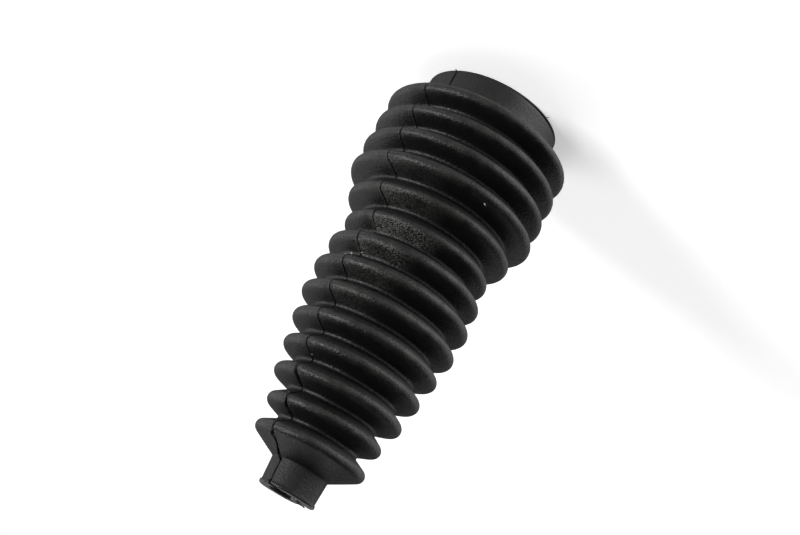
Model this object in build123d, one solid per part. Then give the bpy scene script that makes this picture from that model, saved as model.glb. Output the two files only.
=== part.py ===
from build123d import *

import os
from math import acos, atan2, cos, hypot, sin

# A tapered bellows boot, moulded in one piece from black rubber. It seals a rod where the rod slides
# out of a housing: the large collar is clamped on the housing and the small collar grips the rod.
# The boot stands on its large end. The origin is the centre of the large mouth, +Z runs along the
# axis to the small mouth, and the mould parted on the plane y = 0.

# Driving dimensions of the folds, in millimetres
fold_pitch = 10.0
# Crest radius of each fold from the small end: a taper, a waist, a step out and four equal folds
crest_radii = (21.0, 22.0, 24.8, 26.6, 28.4, 30.1, 30.6, 30.0, 28.6, 32.4, 36.6, 36.6, 36.6, 36.6)
# From the mean of two neighbouring crests in to the root between them
fold_depth = 6.2
wall = 1.6
crest_inside_round = 0.6
root_outside_round = 1.1

# The large collar, which a band clamp squeezes on the housing
large_bore_radius = 24.0
large_collar_wall = 2.7
clamp_land_height = 7.8
# A thicker lip above the land keeps the band on it
land_lip_height = 1.8
land_lip_proud = 0.3
rim_edge_round = 0.3
# From the lip up to the last crest
last_flank_height = 5.4

# The small collar, which grips the rod and has a bead at its mouth to keep its clip on
small_bore_radius = 6.5
small_collar_wall = 3.6
small_collar_height = 10.0
# How much wider the small collar is at its foot than under the bead
small_collar_flare = 0.5
bead_height = 1.4
bead_proud = 0.4
bead_edge_round = 0.2
collar_foot_round = 0.4
# From the first crest up to the foot of the small collar
cone_height = 7.0

# Where a flank runs into a bore
bore_corner_round = 0.6

crest_outside_round = crest_inside_round + wall
large_collar_radius = large_bore_radius + large_collar_wall
small_collar_radius = small_bore_radius + small_collar_wall
bead_radius = small_collar_radius + bead_proud
large_foot_height = clamp_land_height + land_lip_height
first_crest_height = large_foot_height + last_flank_height + (len(crest_radii) - 1) * fold_pitch
small_foot_height = first_crest_height + cone_height
total_height = small_foot_height + small_collar_height
bead_foot_height = total_height - bead_height

# The folds run between these two points of the outside, as (radius, height)
small_foot = (small_collar_radius + small_collar_flare, small_foot_height)
large_foot = (large_collar_radius + land_lip_proud, large_foot_height)


def crest_centres():
    """Centres of the crest bends as (radius, height), small end first."""
    return [
        (radius - crest_outside_round, first_crest_height - number * fold_pitch)
        for number, radius in enumerate(crest_radii)
    ]


def root_centres():
    """Centres of the root bends, each halfway between two crests."""
    return [
        (
            (upper + lower) / 2 - fold_depth + root_outside_round,
            first_crest_height - (number + 0.5) * fold_pitch,
        )
        for number, (upper, lower) in enumerate(zip(crest_radii, crest_radii[1:]))
    ]


def flank_normal(crest, root, root_round):
    """Angle of the outward normal of the straight flank between a crest bend and a root bend."""
    across = root[0] - crest[0]
    up = root[1] - crest[1]
    swing = acos((crest_outside_round + root_round) / hypot(across, up))
    return atan2(up, across) - swing if up > 0 else atan2(up, across) + swing


def flank_normals():
    """Normals of the flanks above and below each crest. The first and last run to the collars."""
    crests = crest_centres()
    roots = root_centres()
    rounds = [root_outside_round] * len(roots)
    above = zip(crests, [small_foot, *roots], [0.0, *rounds])
    below = zip(crests, [*roots, large_foot], [*rounds, 0.0])
    return [flank_normal(*ends) for ends in above], [flank_normal(*ends) for ends in below]


def along_normal(point, normal, distance):
    """Point at a distance from another, along the direction of a normal."""
    return (point[0] + distance * cos(normal), point[1] + distance * sin(normal))


def bend(centre, radius, normal_from, normal_to):
    """Arc of a bend between two outward normals. A root's normals face its centre: radius < 0."""
    normals = (normal_from, (normal_from + normal_to) / 2, normal_to)
    return ThreePointArc(*(along_normal(centre, normal, radius) for normal in normals))


def fold_edges(depth):
    """Bends and flanks, small end first, of the surface at this depth under the outside."""
    above, below = flank_normals()
    bends = []
    for number, centre in enumerate(crest_centres()):
        bends.append(bend(centre, crest_outside_round - depth, above[number], below[number]))
        if number < len(above) - 1:
            centre = root_centres()[number]
            bends.append(bend(centre, -root_outside_round - depth, below[number], above[number + 1]))
    starts = [along_normal(small_foot, above[0], -depth), *(arc @ 1 for arc in bends)]
    ends = [*(arc @ 0 for arc in bends), along_normal(large_foot, below[-1], -depth)]
    return bends + [Line(start, end) for start, end in zip(starts, ends)]


def inside_corner(foot, normal, bore_radius):
    """Point where the inside of the flank that leaves a collar's foot runs into the bore."""
    radius, height = along_normal(foot, normal, -wall)
    return (bore_radius, height + (radius - bore_radius) * cos(normal) / sin(normal))


def wall_section():
    """Half section of the whole boot in its own plane, x as radius and y as height."""
    above, below = flank_normals()
    small_corner = inside_corner(small_foot, above[0], small_bore_radius)
    large_corner = inside_corner(large_foot, below[-1], large_bore_radius)
    small_collar = Polyline(
        small_foot,
        (small_collar_radius, bead_foot_height),
        (bead_radius, bead_foot_height),
        (bead_radius, total_height),
        (small_bore_radius, total_height),
        small_corner,
        along_normal(small_foot, above[0], -wall),
    )
    large_collar = Polyline(
        large_foot,
        (large_foot[0], clamp_land_height),
        (large_collar_radius, clamp_land_height),
        (large_collar_radius, 0),
        (large_bore_radius, 0),
        large_corner,
        along_normal(large_foot, below[-1], -wall),
    )
    outline = [*fold_edges(0.0), *small_collar.edges(), *fold_edges(wall), *large_collar.edges()]
    section = make_face(outline)
    corners = (
        (small_foot, collar_foot_round),
        ((bead_radius, bead_foot_height), bead_edge_round),
        ((bead_radius, total_height), bead_edge_round),
        (small_corner, bore_corner_round),
        (large_corner, bore_corner_round),
        ((large_collar_radius, 0), rim_edge_round),
        ((large_bore_radius, 0), rim_edge_round),
    )
    for corner, size in corners:
        section = fillet(section.vertices().sort_by_distance(corner)[0], size)
    return section


def bellows_boot():
    """The boot: its half section turned about the axis."""
    return revolve(Plane.XZ * wall_section(), Axis.Z)


os.makedirs("parts", exist_ok=True)
export_step(bellows_boot(), "parts/bellows_boot.step")
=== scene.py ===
import math

import bpy
import numpy as np
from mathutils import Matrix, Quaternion, Vector


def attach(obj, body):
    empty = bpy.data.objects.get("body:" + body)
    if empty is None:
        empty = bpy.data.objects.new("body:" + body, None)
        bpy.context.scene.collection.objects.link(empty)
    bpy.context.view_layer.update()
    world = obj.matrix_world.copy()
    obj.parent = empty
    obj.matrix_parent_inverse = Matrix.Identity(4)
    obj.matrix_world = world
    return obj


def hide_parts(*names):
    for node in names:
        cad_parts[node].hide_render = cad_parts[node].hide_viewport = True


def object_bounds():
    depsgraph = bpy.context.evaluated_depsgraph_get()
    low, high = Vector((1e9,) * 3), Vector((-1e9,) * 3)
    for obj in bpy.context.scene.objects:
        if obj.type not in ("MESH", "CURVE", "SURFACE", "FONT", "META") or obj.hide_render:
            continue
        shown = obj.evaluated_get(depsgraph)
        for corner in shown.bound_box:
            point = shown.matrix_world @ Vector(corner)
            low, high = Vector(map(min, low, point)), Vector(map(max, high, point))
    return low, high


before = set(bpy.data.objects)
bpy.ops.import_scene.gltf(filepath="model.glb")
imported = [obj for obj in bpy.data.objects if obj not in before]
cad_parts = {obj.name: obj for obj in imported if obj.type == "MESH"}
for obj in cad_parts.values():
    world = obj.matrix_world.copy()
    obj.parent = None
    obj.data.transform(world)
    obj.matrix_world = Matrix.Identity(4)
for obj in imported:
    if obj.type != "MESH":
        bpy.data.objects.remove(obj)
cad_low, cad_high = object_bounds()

# The boot: one hollow moulding of black rubber, folded like a concertina between a small collar and
# a large one. It was cured in a split steel mould round a steel core, so the wall has one thickness
# on both sides of every fold. Sizes are in millimetres, places in the section are (radius, height).
MM = 0.001
FOLD_PITCH = 10.0
CREST_RADII = (21.0, 22.0, 24.8, 26.6, 28.4, 30.1, 30.6, 30.0, 28.6, 32.4, 36.6, 36.6, 36.6, 36.6)
FOLD_DEPTH = 6.2
WALL = 1.6
CREST_ROUND = 2.2
ROOT_ROUND = 1.1
LAST_CREST = 15.0
FIRST_CREST = LAST_CREST + (len(CREST_RADII) - 1) * FOLD_PITCH
TOP = cad_high.z / MM
BEAD_HEIGHT, CONE_HEIGHT = 1.4, 7.0
BEAD_FOOT = TOP - BEAD_HEIGHT
SMALL_FOOT = (10.6, FIRST_CREST + CONE_HEIGHT)
LARGE_FOOT = (27.0, 9.6)
SMALL_BORE, SMALL_COLLAR, BEAD = 6.5, 10.1, 10.5
LARGE_BORE, LARGE_COLLAR, CLAMP_LAND = 24.0, 26.7, 7.8
# Height of the joint of the mould's foot plate, which leaves a fine groove on the near side
PLATE_JOINT = 0.85
# How far down from the top the knife that trimmed the mouth left its mark
KNIFE_REACH = 0.6
# Most distance between two rows of the mesh: at the small end, over the folds and on the inside
SMALL_END_ROWS, FOLD_ROWS, INSIDE_ROWS = 0.5, 1.2, 4.0


def toward(point, angle, distance):
    """Point at a distance from another, along an angle in the plane of the section."""
    return (point[0] + distance * math.cos(angle), point[1] + distance * math.sin(angle))


def flank_normal(crest, root, root_round):
    """Angle of the outward normal of the flank between a crest bend and a root bend."""
    across, up = root[0] - crest[0], root[1] - crest[1]
    swing = math.acos((CREST_ROUND + root_round) / math.hypot(across, up))
    return math.atan2(up, across) - math.copysign(swing, up)


crests = [(r - CREST_ROUND, FIRST_CREST - i * FOLD_PITCH) for i, r in enumerate(CREST_RADII)]
roots = [
    ((upper + lower) / 2 - FOLD_DEPTH + ROOT_ROUND, FIRST_CREST - (i + 0.5) * FOLD_PITCH)
    for i, (upper, lower) in enumerate(zip(CREST_RADII, CREST_RADII[1:]))
]
root_rounds = [ROOT_ROUND] * len(roots)
above = [flank_normal(*ends) for ends in zip(crests, [SMALL_FOOT, *roots], [0.0, *root_rounds])]
below = [flank_normal(*ends) for ends in zip(crests, [*roots, LARGE_FOOT], [*root_rounds, 0.0])]


def fold_points(depth, crest_steps, root_steps):
    """Points of the bends of the surface at this depth under the outside, small end first."""
    points = []
    for i, crest in enumerate(crests):
        for angle in np.linspace(above[i], below[i], crest_steps):
            points.append(toward(crest, angle, CREST_ROUND - depth))
        if i < len(roots):
            for angle in np.linspace(below[i], above[i + 1], root_steps):
                points.append(toward(roots[i], angle, -ROOT_ROUND - depth))
    return points


def inside_corner(foot, normal, bore):
    """Point where the inside of the flank that leaves a collar's foot runs into the bore."""
    radius, height = toward(foot, normal, -WALL)
    return (bore, height + (radius - bore) / math.tan(normal))


def rounded(corners, steps=4):
    """A closed outline from (point, round) pairs, each corner turned into an arc of its round."""
    made = []
    for i, (point, size) in enumerate(corners):
        corner = Vector(point)
        if size == 0:
            made.append(corner)
            continue
        back = (Vector(corners[i - 1][0]) - corner).normalized()
        ahead = (Vector(corners[(i + 1) % len(corners)][0]) - corner).normalized()
        half = back.angle(ahead) / 2
        centre = corner + (back + ahead).normalized() * (size / math.sin(half))
        spokes = [(corner + way * (size / math.tan(half)) - centre).normalized() for way in (back, ahead)]
        made += [centre + spokes[0].slerp(spokes[1], share) * size for share in np.linspace(0, 1, steps)]
    return made


def spaced(line, gap):
    """The line without its last point, with points added so that none is further on than the gap."""
    made = []
    for here, there in zip(line, line[1:]):
        count = max(1, math.ceil((there - here).length / gap))
        made += [here.lerp(there, i / count) for i in range(count)]
    return made


# Corners of the section and their rounds, from the mouth down the outside and up the inside
outline = rounded([
    ((BEAD, TOP), 0.45),
    ((BEAD, BEAD_FOOT), 0.25),
    ((SMALL_COLLAR, BEAD_FOOT), 0.1),
    (SMALL_FOOT, 0.8),
    *((point, 0) for point in fold_points(0.0, 9, 7)),
    (LARGE_FOOT, 0.3),
    ((LARGE_FOOT[0], CLAMP_LAND), 0.1),
    ((LARGE_COLLAR, CLAMP_LAND), 0.1),
    *(((LARGE_COLLAR, PLATE_JOINT + up), 0) for up in (0.45, 0.2, 0.0, -0.2, -0.4)),
    ((LARGE_COLLAR, 0.0), 0.3),
    ((LARGE_BORE, 0.0), 0.3),
    (inside_corner(LARGE_FOOT, below[-1], LARGE_BORE), 0.6),
    *((point, 0) for point in reversed(fold_points(WALL, 4, 5))),
    (inside_corner(SMALL_FOOT, above[0], SMALL_BORE), 0.6),
    ((SMALL_BORE, TOP), 0.3),
])
cone = next(i for i, point in enumerate(outline) if point.y < FIRST_CREST)
rim = next(i for i, point in enumerate(outline) if point.y < 0.001)
section = spaced(outline[:cone + 1], SMALL_END_ROWS) + spaced(outline[cone:rim + 1], FOLD_ROWS)
outside_rows = len(section)
section += spaced(outline[rim:], INSIDE_ROWS) + spaced([outline[-1], outline[0]], SMALL_END_ROWS)
section = np.array([tuple(point) for point in section])
step = np.roll(section, -1, axis=0) - np.roll(section, 1, axis=0)
outward = np.stack([-step[:, 1], step[:, 0]], axis=1) / np.linalg.norm(step, axis=1)[:, None]
radius, height = section[:, :1], section[:, 1:]
is_outside = (np.arange(len(section)) < outside_rows)[:, None] | (height > TOP - KNIFE_REACH)

# The parting line. The halves of the steel mould met on the plane y = 0, so the line runs up both
# sides, at +X and -X: a trimmed groove with a low lip beside it. The worn edges let it step aside.
# The columns of the mesh lie close together beside it, at these distances, to take its form.
BESIDE_LINE = np.array([0.0, 0.07, 0.14, 0.22, 0.32, 0.45, 0.65, 0.95, 1.4, 2.0])
EVEN_COLUMNS = 64
LIP_HEIGHT, LIP_BESIDE, LIP_HALF_WIDTH = 0.08, 0.42, 0.17
# The line at -X is straight and fine
BACK_DEPTH, BACK_HALF_WIDTH = 0.3, 0.18
# The groove of the foot plate's joint, the angle of its middle and how far it reaches round from there
PLATE_DEPTH, PLATE_HALF_WIDTH = 0.5, 0.24
PLATE_MIDDLE, PLATE_REACH = 1.45 * math.pi, 0.7
# The line at +X from the top down: height, step to the side, depth and half width of the groove
FRONT_LINE = (
    (TOP, -0.8, 0.60, 0.36),
    (160.6, -0.3, 0.55, 0.30),
    (156.9, -0.2, 0.40, 0.22),
    (153.2, -0.3, 0.45, 0.24),
    (152.2, 0.9, 0.90, 0.80),
    (151.8, 1.2, 0.90, 0.65),
    (150.8, 0.9, 0.80, 0.46),
    (149.6, 0.4, 0.75, 0.38),
    (148.4, 0.3, 0.75, 0.42),
    (148.0, 0.8, 0.80, 0.60),
    (147.7, 1.3, 0.80, 0.75),
    (147.1, 0.5, 0.75, 0.60),
    (146.6, -0.3, 0.60, 0.36),
    (145.0, 0.1, 0.55, 0.28),
    (143.6, 0.3, 0.60, 0.30),
    (141.5, 0.0, 0.70, 0.36),
    (139.4, -0.6, 0.85, 0.62),
    (138.4, -0.5, 0.85, 0.68),
    (137.4, 0.3, 0.85, 0.70),
    (136.7, -0.4, 0.70, 0.42),
    (134.5, 0.1, 0.60, 0.32),
    (130.5, -0.2, 0.75, 0.48),
    (128.6, 0.4, 0.85, 0.60),
    (126.8, -0.3, 0.85, 0.60),
    (124.4, 0.2, 0.65, 0.38),
    (121.0, 0.0, 0.50, 0.26),
    (115.0, 0.1, 0.50, 0.26),
    (88.0, -0.1, 0.42, 0.21),
    (51.0, -0.3, 0.40, 0.20),
    (49.6, -1.3, 0.40, 0.20),
    (47.4, -1.2, 0.40, 0.20),
    (46.2, -0.1, 0.40, 0.20),
    (10.6, 0.0, 0.40, 0.20),
    (7.6, 0.0, 0.45, 0.26),
    (0.0, 0.1, 0.50, 0.32),
)
dice = np.random.default_rng(14)


def hump(distance, width, power=2):
    """A smooth bump, 1 at the middle and dying away past its half width. A high power squares it."""
    return np.exp(-np.abs(distance / width) ** power)


def fade(value, start, end):
    """0 up to the start, 1 from the end on, and even between them."""
    return np.clip((value - start) / (end - start), 0, 1)


def ripple(turns, lengths, count=6):
    """A smooth uneven field over angle and height, from sums of waves, about -1 to 1."""
    field = np.zeros(angle.shape)
    for _ in range(count):
        turn = int(dice.integers(turns[0], turns[1] + 1))
        length = dice.uniform(*lengths)
        phase, tilt = dice.uniform(0, 2 * math.pi, 2)
        field += np.sin(turn * angle + phase) * np.cos(2 * math.pi * height / length + tilt)
    return field / math.sqrt(count)


near = BESIDE_LINE[None, :] / radius
gap = math.pi - 2 * near[:, -1:]
even = near[:, -1:] + gap * (np.arange(1, EVEN_COLUMNS)[None, :] / EVEN_COLUMNS)
half_turn = np.concatenate([near, even, math.pi - near[:, :0:-1]], axis=1)
angle = np.concatenate([half_turn, half_turn + math.pi], axis=1)
front = np.cos(angle) > 0
beside = np.sin(angle) * radius

line = np.array(FRONT_LINE)[::-1]
aside, deep, wide = (np.interp(height, line[:, 0], line[:, n]) for n in (1, 2, 3))
aside = aside + 0.1 * np.sin(height * 1.9) * np.sin(height * 0.7)
# The depth of both lines changes about every 1.3 mm
knots = np.linspace(0, TOP, 125)
uneven = np.interp(height, knots, dice.uniform(0.6, 1.35, len(knots)))
groove = np.where(front, deep, BACK_DEPTH) * uneven
groove = groove * hump(beside, np.where(front, wide, BACK_HALF_WIDTH), 4)
lip = LIP_HEIGHT * uneven * hump(beside - LIP_BESIDE, LIP_HALF_WIDTH)
plate_line = PLATE_DEPTH * hump(height - PLATE_JOINT, PLATE_HALF_WIDTH)
plate_line = plate_line * hump(angle - PLATE_MIDDLE, PLATE_REACH)
raised = is_outside * (lip - groove - plate_line)

# Freshly moulded rubber creeps as it cools, so no fold is quite round or level. The collars stay true,
# and the creep sets in over the first millimetres from them.
CREEP_START = 4.0
BULGE, LEAN = 0.08, 0.16
from_large_collar = fade(height, LARGE_FOOT[1], LARGE_FOOT[1] + CREEP_START)
from_small_collar = fade(-height, -SMALL_FOOT[1], CREEP_START - SMALL_FOOT[1])
folds = from_large_collar * from_small_collar
bulge = BULGE * folds * ripple((1, 4), (25, 70))
lean = LEAN * folds * ripple((1, 5), (20, 50))
# The mouth was trimmed by hand. Its top is low in places, and most beside the line and the flash.
TRIM_DEPTH, TRIM_WAVE, TRIM_START = 0.12, 0.08, 0.7
NOTCH_AT_LINE, NOTCH_AT_FLASH = 0.45, 0.5
trimmed = TRIM_DEPTH + TRIM_WAVE * ripple((2, 7), (400, 900), 4)
beside_line = NOTCH_AT_LINE * front * (beside < 0) * hump(beside, 2.2)
beside_flash = NOTCH_AT_FLASH * ~front * hump(beside, 2.4)
trimmed += beside_line + beside_flash
skin_radius = np.minimum(radius + bulge + outward[:, :1] * raised, cad_high.x / MM)
lowered = trimmed * fade(height, TOP - TRIM_START, TOP)
skin_height = np.clip(height + lean + outward[:, 1:] * raised, 0, TOP) - lowered
turned = angle + front * aside * hump(beside, 2.5) / radius
place = np.stack([skin_radius * np.cos(turned), skin_radius * np.sin(turned), skin_height], axis=2)
rows, columns = angle.shape
i, j = np.meshgrid(np.arange(rows), np.arange(columns), indexing="ij")
i2, j2 = (i + 1) % rows, (j + 1) % columns
quads = np.stack([i * columns + j, i2 * columns + j, i2 * columns + j2, i * columns + j2], axis=2)
mesh = bpy.data.meshes.new("boot_skin")
mesh.from_pydata((place.reshape(-1, 3) * MM).tolist(), [], quads.reshape(-1, 4).tolist())
mesh.shade_smooth()
mesh.set_sharp_from_angle(angle=math.radians(50))
boot = bpy.data.objects.new("boot_skin", mesh)
bpy.context.scene.collection.objects.link(boot)

# Where the surface differs: how near each point is to a crest, and where the mould's grain shows.
# Some folds were cut into the mould by spark erosion and never polished, most of all beside the line.
# Fold, counted from the small end: strength of its grain, and degrees it reaches round from the line
GRAIN = {6: (0.25, 30), 7: (0.35, 35), 8: (0.65, 36), 9: (0.95, 48), 10: (0.45, 40), 11: (0.25, 30)}
crest_line = np.interp(height, [z for _, z in crests[::-1]], CREST_RADII[::-1])
rise = is_outside * np.clip(1 - (crest_line - radius) / FOLD_DEPTH, 0, 1) * np.ones(angle.shape)
degrees = np.degrees((angle + math.pi) % (2 * math.pi) - math.pi)
fold = (FIRST_CREST - height) / FOLD_PITCH + 1
patchy = 0.75 + 0.35 * ripple((6, 14), (6, 15), 8)
grain = np.zeros(angle.shape)
for number, (strength, reach) in GRAIN.items():
    upper_flank = fade(fold, number - 0.5, number - 0.38) * fade(-fold, 0.02 - number, 0.16 - number)
    near_line = fade(degrees, -reach - 12, -reach + 8) * fade(-degrees, -6, 2)
    grain += strength * upper_flank * near_line
grain = np.clip(grain * patchy, 0, 1)
# The clamping lands were left matt in the mould, and the inside is as dull as the sanded core. The
# knife that trimmed the mouth left its face and edge shiny, so dull is below 0 there.
LAND_DULL, SLICED_SHINE = 0.5, 1.7
on_small_land = fade(height, SMALL_FOOT[1] - 0.4, SMALL_FOOT[1]) * (height < BEAD_FOOT)
on_land = np.maximum(on_small_land, fade(-height, -LARGE_FOOT[1], 1.0 - LARGE_FOOT[1]))
sliced = fade(height, TOP - KNIFE_REACH, TOP - KNIFE_REACH / 2)
dull = np.where(is_outside, LAND_DULL * on_land - SLICED_SHINE * sliced, 1.0) * np.ones(angle.shape)
handled = rise ** 5 + 0.3 * is_outside * on_land
fields = {"handled": handled, "grain": is_outside * grain, "dull": dull}
for name, field in fields.items():
    mesh.attributes.new(name, "FLOAT", "POINT").data.foreach_set("value", field.ravel().astype(np.float32))


def colour(code):
    """Linear colour of an sRGB hex value."""
    parts = [int(code[n:n + 2], 16) / 255 for n in (1, 3, 5)]
    return tuple(c / 12.92 if c <= 0.04045 else ((c + 0.055) / 1.055) ** 2.4 for c in parts) + (1.0,)


def add(tree, kind, inputs=None, **settings):
    """Add a node with its settings. An input takes a value, or an output socket to link from."""
    made = tree.nodes.new(kind)
    for name, value in settings.items():
        setattr(made, name, value)
    for name, value in (inputs or {}).items():
        if isinstance(value, bpy.types.NodeSocket):
            tree.links.new(value, made.inputs[name])
        else:
            made.inputs[name].default_value = value
    return made


# Carbon black filled rubber, pressed in a steel mould: nearly black, with the satin gloss of the
# steel. Handling leaves a thin dry bloom on the crests, which turns them greyer and less even.
# The last colour is a painted glint: the craters of the eroded grain are coloured pale grey where light
# would catch the grain.
BLACK, BLOOM, GRAIN_GLINT = "#0a0a0b", "#1c1c1a", "#585854"
rubber = bpy.data.materials.new("moulded_carbon_black_rubber")
rubber.use_nodes = True
tree = rubber.node_tree
spot = add(tree, "ShaderNodeTexCoord").outputs["Object"]
worn = add(tree, "ShaderNodeAttribute", attribute_name="handled").outputs["Fac"]
eroded = add(tree, "ShaderNodeAttribute", attribute_name="grain").outputs["Fac"]
matt = add(tree, "ShaderNodeAttribute", attribute_name="dull").outputs["Fac"]
# Patches of bloom 4 mm across, marks of 1.5 mm from handling, and a speckle of 0.7 mm
patches = add(tree, "ShaderNodeTexNoise", {"Vector": spot, "Scale": 1 / 0.004, "Detail": 4.0})
marks = add(tree, "ShaderNodeTexNoise", {"Vector": spot, "Scale": 1 / 0.0015, "Detail": 3.0})
speckle = add(tree, "ShaderNodeTexNoise", {"Vector": spot, "Scale": 1 / 0.0007, "Detail": 2.0})
# Eroded grain has craters of about 0.1 mm. It is drawn at 0.6 mm, the finest that shows.
craters = add(tree, "ShaderNodeTexNoise", {"Vector": spot, "Scale": 1 / 0.0006, "Detail": 1.0})
patch_share = add(tree, "ShaderNodeMapRange", {
    "Value": patches.outputs["Fac"], "From Min": 0.35, "From Max": 0.65, "To Min": 0.0, "To Max": 1.0,
})
bloom = add(tree, "ShaderNodeMath", {0: worn, 1: patch_share.outputs[0]}, operation="MULTIPLY")
skin = add(tree, "ShaderNodeMix", {
    0: bloom.outputs[0], 6: colour(BLACK), 7: colour(BLOOM),
}, data_type="RGBA")
# Painted glints: the craters of the eroded grain turn pale grey, as far as the grain reaches.
glinting_craters = add(tree, "ShaderNodeMapRange", {
    "Value": craters.outputs["Fac"], "From Min": 0.42, "From Max": 0.62, "To Min": 0.0, "To Max": eroded,
})
base = add(tree, "ShaderNodeMix", {
    0: glinting_craters.outputs[0], 6: skin.outputs[2], 7: colour(GRAIN_GLINT),
}, data_type="RGBA")
rough = add(tree, "ShaderNodeMapRange", {
    "Value": speckle.outputs["Fac"], "From Min": 0.3, "From Max": 0.7, "To Min": 0.26, "To Max": 0.32,
})
# The pores scatter most of the light that skims them, so the outline of the boot doesn't shine.
facing = add(tree, "ShaderNodeLayerWeight", {"Blend": 0.5}).outputs["Facing"]
skimmed = add(tree, "ShaderNodeMapRange", {
    "Value": facing, "From Min": 0.45, "From Max": 0.85, "To Min": 0.0, "To Max": 1.0,
})
shares = (
    (matt, 0.22),
    (marks.outputs["Fac"], 0.12),
    (patches.outputs["Fac"], 0.1),
    (worn, -0.03),
    (skimmed.outputs[0], 0.4),
)
for share, amount in shares:
    rough = add(tree, "ShaderNodeMath", {
        0: share, 1: amount, 2: rough.outputs[0],
    }, operation="MULTIPLY_ADD")
mark_bump = add(tree, "ShaderNodeBump", {
    "Strength": worn, "Distance": 0.00008, "Height": marks.outputs["Fac"],
})
skin_bump = add(tree, "ShaderNodeBump", {
    "Strength": 1.0, "Distance": 0.00028, "Height": speckle.outputs["Fac"], "Normal": mark_bump.outputs[0],
})
grain_bump = add(tree, "ShaderNodeBump", {
    "Strength": eroded, "Distance": 0.0012, "Height": craters.outputs["Fac"],
    "Normal": skin_bump.outputs[0],
})
shader = tree.nodes["Principled BSDF"]
# Rubber's own index is about 1.5. The skin is full of fine pores, which take light at every angle, so
# a lower one is matched here.
shader.inputs["IOR"].default_value = 1.3
tree.links.new(base.outputs[2], shader.inputs["Base Color"])
tree.links.new(rough.outputs[0], shader.inputs["Roughness"])
tree.links.new(grain_bump.outputs[0], shader.inputs["Normal"])
mesh.materials.append(rubber)
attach(boot, "root")
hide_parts("bellows_boot")

# What the mould left behind: a fin of flash across the small mouth, a nib of it at the foot of each
# seam, torn curls in the folds beside the line, and crumbs of the chalk that freed the boot. Three pale
# flecks under the seventh crest, beside the line, are painted glints of flash edges in the chalk's
# colour. They are the same rubber as the boot, apart from the crumbs and the flecks.
chalk_and_glint = bpy.data.materials.new("mould_chalk_and_painted_glint")
chalk_and_glint.use_nodes = True
tree = chalk_and_glint.node_tree
spot = add(tree, "ShaderNodeTexCoord").outputs["Object"]
lumps = add(tree, "ShaderNodeTexNoise", {"Vector": spot, "Scale": 1 / 0.0004, "Detail": 2.0})
tint = add(tree, "ShaderNodeMix", {
    0: lumps.outputs["Fac"], 6: colour("#5e5d5a"), 7: colour("#b4b2ad"),
}, data_type="RGBA")
tree.links.new(tint.outputs[2], tree.nodes["Principled BSDF"].inputs["Base Color"])
tree.nodes["Principled BSDF"].inputs["Roughness"].default_value = 0.9


def at(radius, degrees, height):
    """Point on the boot, from its distance from the axis, degrees round from +X and height in mm."""
    turn = math.radians(degrees)
    return Vector((radius * math.cos(turn), radius * math.sin(turn), height))


def sliver(name, path, thick, material):
    """A tapering strand of rubber or chalk, or a pale painted glint, along a path, as thick at each point
    as the list says.
    """
    sides, verts = 8, []
    for n, (point, size) in enumerate(zip(path, thick)):
        ahead = (path[min(n + 1, len(path) - 1)] - path[max(n - 1, 0)]).normalized()
        across = ahead.orthogonal().normalized()
        other = ahead.cross(across)
        for k in range(sides):
            turn = 2 * math.pi * k / sides
            reach = size * dice.uniform(0.75, 1.15)
            verts.append((point + (across * math.cos(turn) + other * math.sin(turn)) * reach) * MM)
    faces = [
        (
            n * sides + k,
            n * sides + (k + 1) % sides,
            (n + 1) * sides + (k + 1) % sides,
            (n + 1) * sides + k,
        )
        for n in range(len(path) - 1)
        for k in range(sides)
    ]
    faces += [tuple(range(sides))[::-1], tuple(range(len(verts) - sides, len(verts)))]
    made = bpy.data.meshes.new(name)
    made.from_pydata([tuple(v) for v in verts], [], faces)
    made.shade_smooth()
    made.materials.append(material)
    piece = bpy.data.objects.new(name, made)
    bpy.context.scene.collection.objects.link(piece)
    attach(piece, "root")


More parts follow.
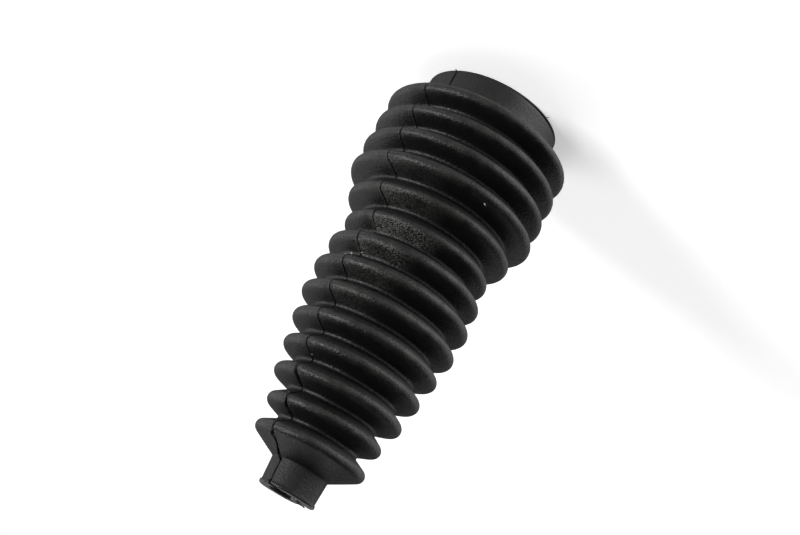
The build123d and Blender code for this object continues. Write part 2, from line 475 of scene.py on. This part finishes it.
LEFTOVERS = {
    "mouth_flash": (rubber, [
        (at(6.2, 180, TOP - 0.9), 0.14), (at(6.7, 180, TOP - 0.35), 0.28),
        (at(7.6, 181, TOP - 0.3), 0.15), (at(8.4, 179, TOP - 0.33), 0.28),
        (at(9.4, 180, TOP - 0.32), 0.15), (at(10.3, 180, TOP - 0.34), 0.28),
        (at(11.0, 179, TOP - 0.3), 0.22), (at(11.8, 177, TOP - 0.4), 0.08),
    ]),
    "front_nib": (rubber, [
        (at(26.5, 1, 0.25), 0.22), (at(27.1, 1, 0.25), 0.2), (at(27.6, 1, 0.2), 0.08),
    ]),
    "side_nib": (rubber, [
        (at(26.5, -87, 0.2), 0.16), (at(27.4, -87, 0.18), 0.12), (at(28.3, -86, 0.14), 0.06),
    ]),
    "upper_curl": (rubber, [
        (at(20.2, 1, 133.2), 0.2), (at(20.9, 3, 132.9), 0.34),
        (at(20.9, 6, 132.8), 0.3), (at(20.3, 8, 132.7), 0.12),
    ]),
    "lower_curl": (rubber, [
        (at(28.9, -11, 73.3), 0.14), (at(28.9, -8.6, 72.9), 0.4), (at(28.7, -7, 73.0), 0.2),
        (at(28.8, -5, 72.8), 0.46), (at(28.6, -3.4, 73.0), 0.22), (at(28.7, -1, 72.8), 0.44),
        (at(28.5, 0.6, 72.9), 0.24), (at(28.6, 2, 72.8), 0.36), (at(28.2, 3.6, 72.7), 0.1),
    ]),
    # The next three flecks are painted glints: pale slivers for light caught by edges of flash under the
    # seventh crest.
    "long_glint_fleck": (chalk_and_glint, [
        (at(28.4, -1, 82.5), 0.1), (at(27.9, 0, 81.9), 0.26),
        (at(27.3, 2, 81.2), 0.24), (at(27.0, 4, 81.3), 0.1),
    ]),
    "small_glint_fleck": (chalk_and_glint, [
        (at(24.9, -3, 79.2), 0.1), (at(24.9, -2, 79.3), 0.22), (at(24.9, -1, 79.2), 0.1),
    ]),
    "crest_glint_fleck": (chalk_and_glint, [
        (at(29.8, 1, 83.6), 0.1), (at(29.8, 1.6, 83.2), 0.2), (at(29.6, 2.2, 82.9), 0.1),
    ]),
    # Crumbs of chalk
    "grey_crumb": (chalk_and_glint, [
        (at(21.5, -2.0, 118.6), 0.06), (at(21.6, -1.2, 118.5), 0.1), (at(21.6, 0, 118.4), 0.05),
    ]),
    "flank_crumb": (chalk_and_glint, [
        (at(34.1, -66.8, 47.7), 0.1), (at(34.2, -66, 47.5), 0.27),
        (at(34.3, -65.3, 47.3), 0.23), (at(34.2, -64.8, 47.2), 0.08),
    ]),
}
for name, (material, points) in LEFTOVERS.items():
    sliver(name, [point for point, _ in points], [size for _, size in points], material)

# The table: a plain white board, matt, large enough to fill the view from every side. Lamps light it
# to about four fifths of white. Its own glow, for rays that look at it, makes up the rest and keeps
# the shadow faint.
TABLE_GLOW = 0.46
# In metres
HALF_TABLE = 60.0
table_mesh = bpy.data.meshes.new("white_table")
ends = (-HALF_TABLE, HALF_TABLE)
corners = [(ends[0], ends[0], 0), (ends[1], ends[0], 0), (ends[1], ends[1], 0), (ends[0], ends[1], 0)]
table_mesh.from_pydata(corners, [], [(0, 1, 2, 3)])
table = bpy.data.objects.new("white_table", table_mesh)
bpy.context.scene.collection.objects.link(table)
board = bpy.data.materials.new("matt_white_board")
board.use_nodes = True
tree = board.node_tree
shader = tree.nodes["Principled BSDF"]
shader.inputs["Base Color"].default_value = colour("#f7f7f7")
shader.inputs["Roughness"].default_value = 0.9
shader.inputs["Specular IOR Level"].default_value = 0.0
ray = add(tree, "ShaderNodeLightPath").outputs
looks = add(tree, "ShaderNodeMath", {0: ray["Is Camera Ray"], 1: ray["Is Glossy Ray"]}, operation="ADD")
looks = add(tree, "ShaderNodeMath", {0: looks.outputs[0], 1: ray["Is Transmission Ray"]}, operation="ADD")
level = add(tree, "ShaderNodeMath", {0: looks.outputs[0], 1: TABLE_GLOW}, operation="MULTIPLY")
glow = add(tree, "ShaderNodeEmission", {"Strength": level.outputs[0]})
both = add(tree, "ShaderNodeAddShader", {0: shader.outputs[0], 1: glow.outputs[0]})
tree.links.new(both.outputs[0], tree.nodes["Material Output"].inputs["Surface"])
table_mesh.materials.append(board)

# The room: white at the horizon, where the table ends, and dim overhead, as in a studio with flags.
HORIZON_LEVEL, ROOF_LEVEL = 1.0, 0.07
# Degrees up at which the white band ends and the dim roof begins
HORIZON_TOP, ROOF_START = 2.0, 30.0
world = bpy.data.worlds.new("studio")
bpy.context.scene.world = world
world.use_nodes = True
tree = world.node_tree
way = add(tree, "ShaderNodeTexCoord").outputs["Generated"]
upward = add(tree, "ShaderNodeSeparateXYZ", {0: way}).outputs["Z"]
strength = add(tree, "ShaderNodeMapRange", {
    "Value": upward,
    "From Min": math.sin(math.radians(HORIZON_TOP)), "From Max": math.sin(math.radians(ROOF_START)),
    "To Min": HORIZON_LEVEL, "To Max": ROOF_LEVEL,
}, interpolation_type="SMOOTHSTEP")
tree.nodes["Background"].inputs["Color"].default_value = (1, 1, 1, 1)
tree.links.new(strength.outputs[0], tree.nodes["Background"].inputs["Strength"])

# The lamps: far soft boxes, so each is a sun as wide as its box looks from the boot. They are placed
# round from the camera, which stands at this many degrees round from +X.
CAMERA_AZIMUTH = -44.3
# Name: degrees round from the camera, degrees up, width in degrees, brightness of its face
LAMPS = {
    "key_right": (62, 16, 26, 23.0),
    "back_right": (130, 14, 40, 1.3),
    "high_right": (140, 38, 30, 1.5),
    "overhead": (180, 62, 50, 1.4),
    "low_left": (-66, -42, 44, 12.5),
}
for name, (round_from_camera, up, width, face) in LAMPS.items():
    sun = bpy.data.lights.new(name, "SUN")
    sun.angle = math.radians(width)
    sun.energy = face * 2 * math.pi * (1 - math.cos(sun.angle / 2))
    lamp = bpy.data.objects.new(name, sun)
    bpy.context.scene.collection.objects.link(lamp)
    turn, tilt = math.radians(CAMERA_AZIMUTH + round_from_camera), math.radians(up)
    towards = Vector((math.cos(turn) * math.cos(tilt), math.sin(turn) * math.cos(tilt), math.sin(tilt)))
    lamp.rotation_mode = "QUATERNION"
    lamp.rotation_quaternion = (-towards).to_track_quat("-Z", "Y")
    if up < 0:
        # It shines from under the table, so it passes the table and lights the boot alone.
        boot_only = bpy.data.collections.new(name)
        boot_only.objects.link(boot)
        lamp.light_linking.receiver_collection = boot_only
        lamp.light_linking.blocker_collection = boot_only

# The camera looks down on the boot, and is rolled over so that the small end points down the frame.
# Its places are in millimetres, as are those of the boot, and its roll is in degrees.
LENS = 50.48
CAMERA_PLACE = (275.83, -269.17, 200.37)
AIM = (2.04, 2.06, 71.34)
ROLL = -151.5
camera_data = bpy.data.cameras.new("camera")
camera_data.lens = LENS
camera = bpy.data.objects.new("camera", camera_data)
bpy.context.scene.collection.objects.link(camera)
camera.location = Vector(CAMERA_PLACE) * MM
aim = Vector(AIM) * MM
look = (aim - camera.location).to_track_quat("-Z", "Y")
camera.rotation_mode = "QUATERNION"
camera.rotation_quaternion = look @ Quaternion((0, 0, 1), math.radians(ROLL))
bpy.context.scene.camera = camera
bpy.context.scene.view_settings.view_transform = "Standard"
